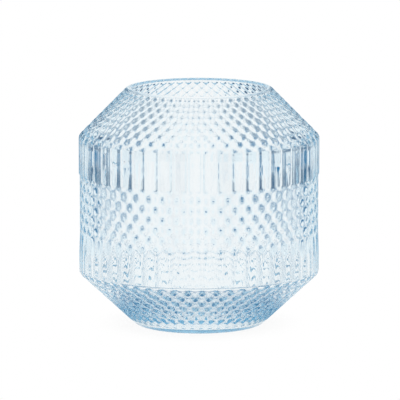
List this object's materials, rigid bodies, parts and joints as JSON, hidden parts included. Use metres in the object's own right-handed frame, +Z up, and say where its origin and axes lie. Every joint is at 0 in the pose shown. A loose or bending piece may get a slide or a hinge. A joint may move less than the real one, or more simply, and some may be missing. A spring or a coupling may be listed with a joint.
{
  "type": "pressed glass vase",
  "caption": "Squat round vase of pale blue pressed glass: fluted belly with a diamond band between diamond-cut cones, a wide open mouth and a small flat foot.",
  "frame": {"origin": "centre of the foot's underside, on the plane of the table", "axes": "+Z up along the vase's axis; +X and +Y pass through grooves between flutes"},
  "size_m": [0.1498, 0.1498, 0.1485],
  "materials": {
    "base_glass": "fire-polished, clear pale blue, deepest where the glass is thick",
    "body_glass": "fire-polished, clear pale blue, with a moulded relief outside and a smooth inside",
    "rim_glass": "fire-polished and rounded, clear pale blue"
  },
  "bodies": {
    "root": {"foot_disc": "base_glass", "base_cone": "base_glass", "lower_flutes": "body_glass", "diamond_band": "body_glass", "upper_flutes": "body_glass", "shoulder_cone": "body_glass", "rim_lip": "rim_glass"}
  },
  "joints": []
}
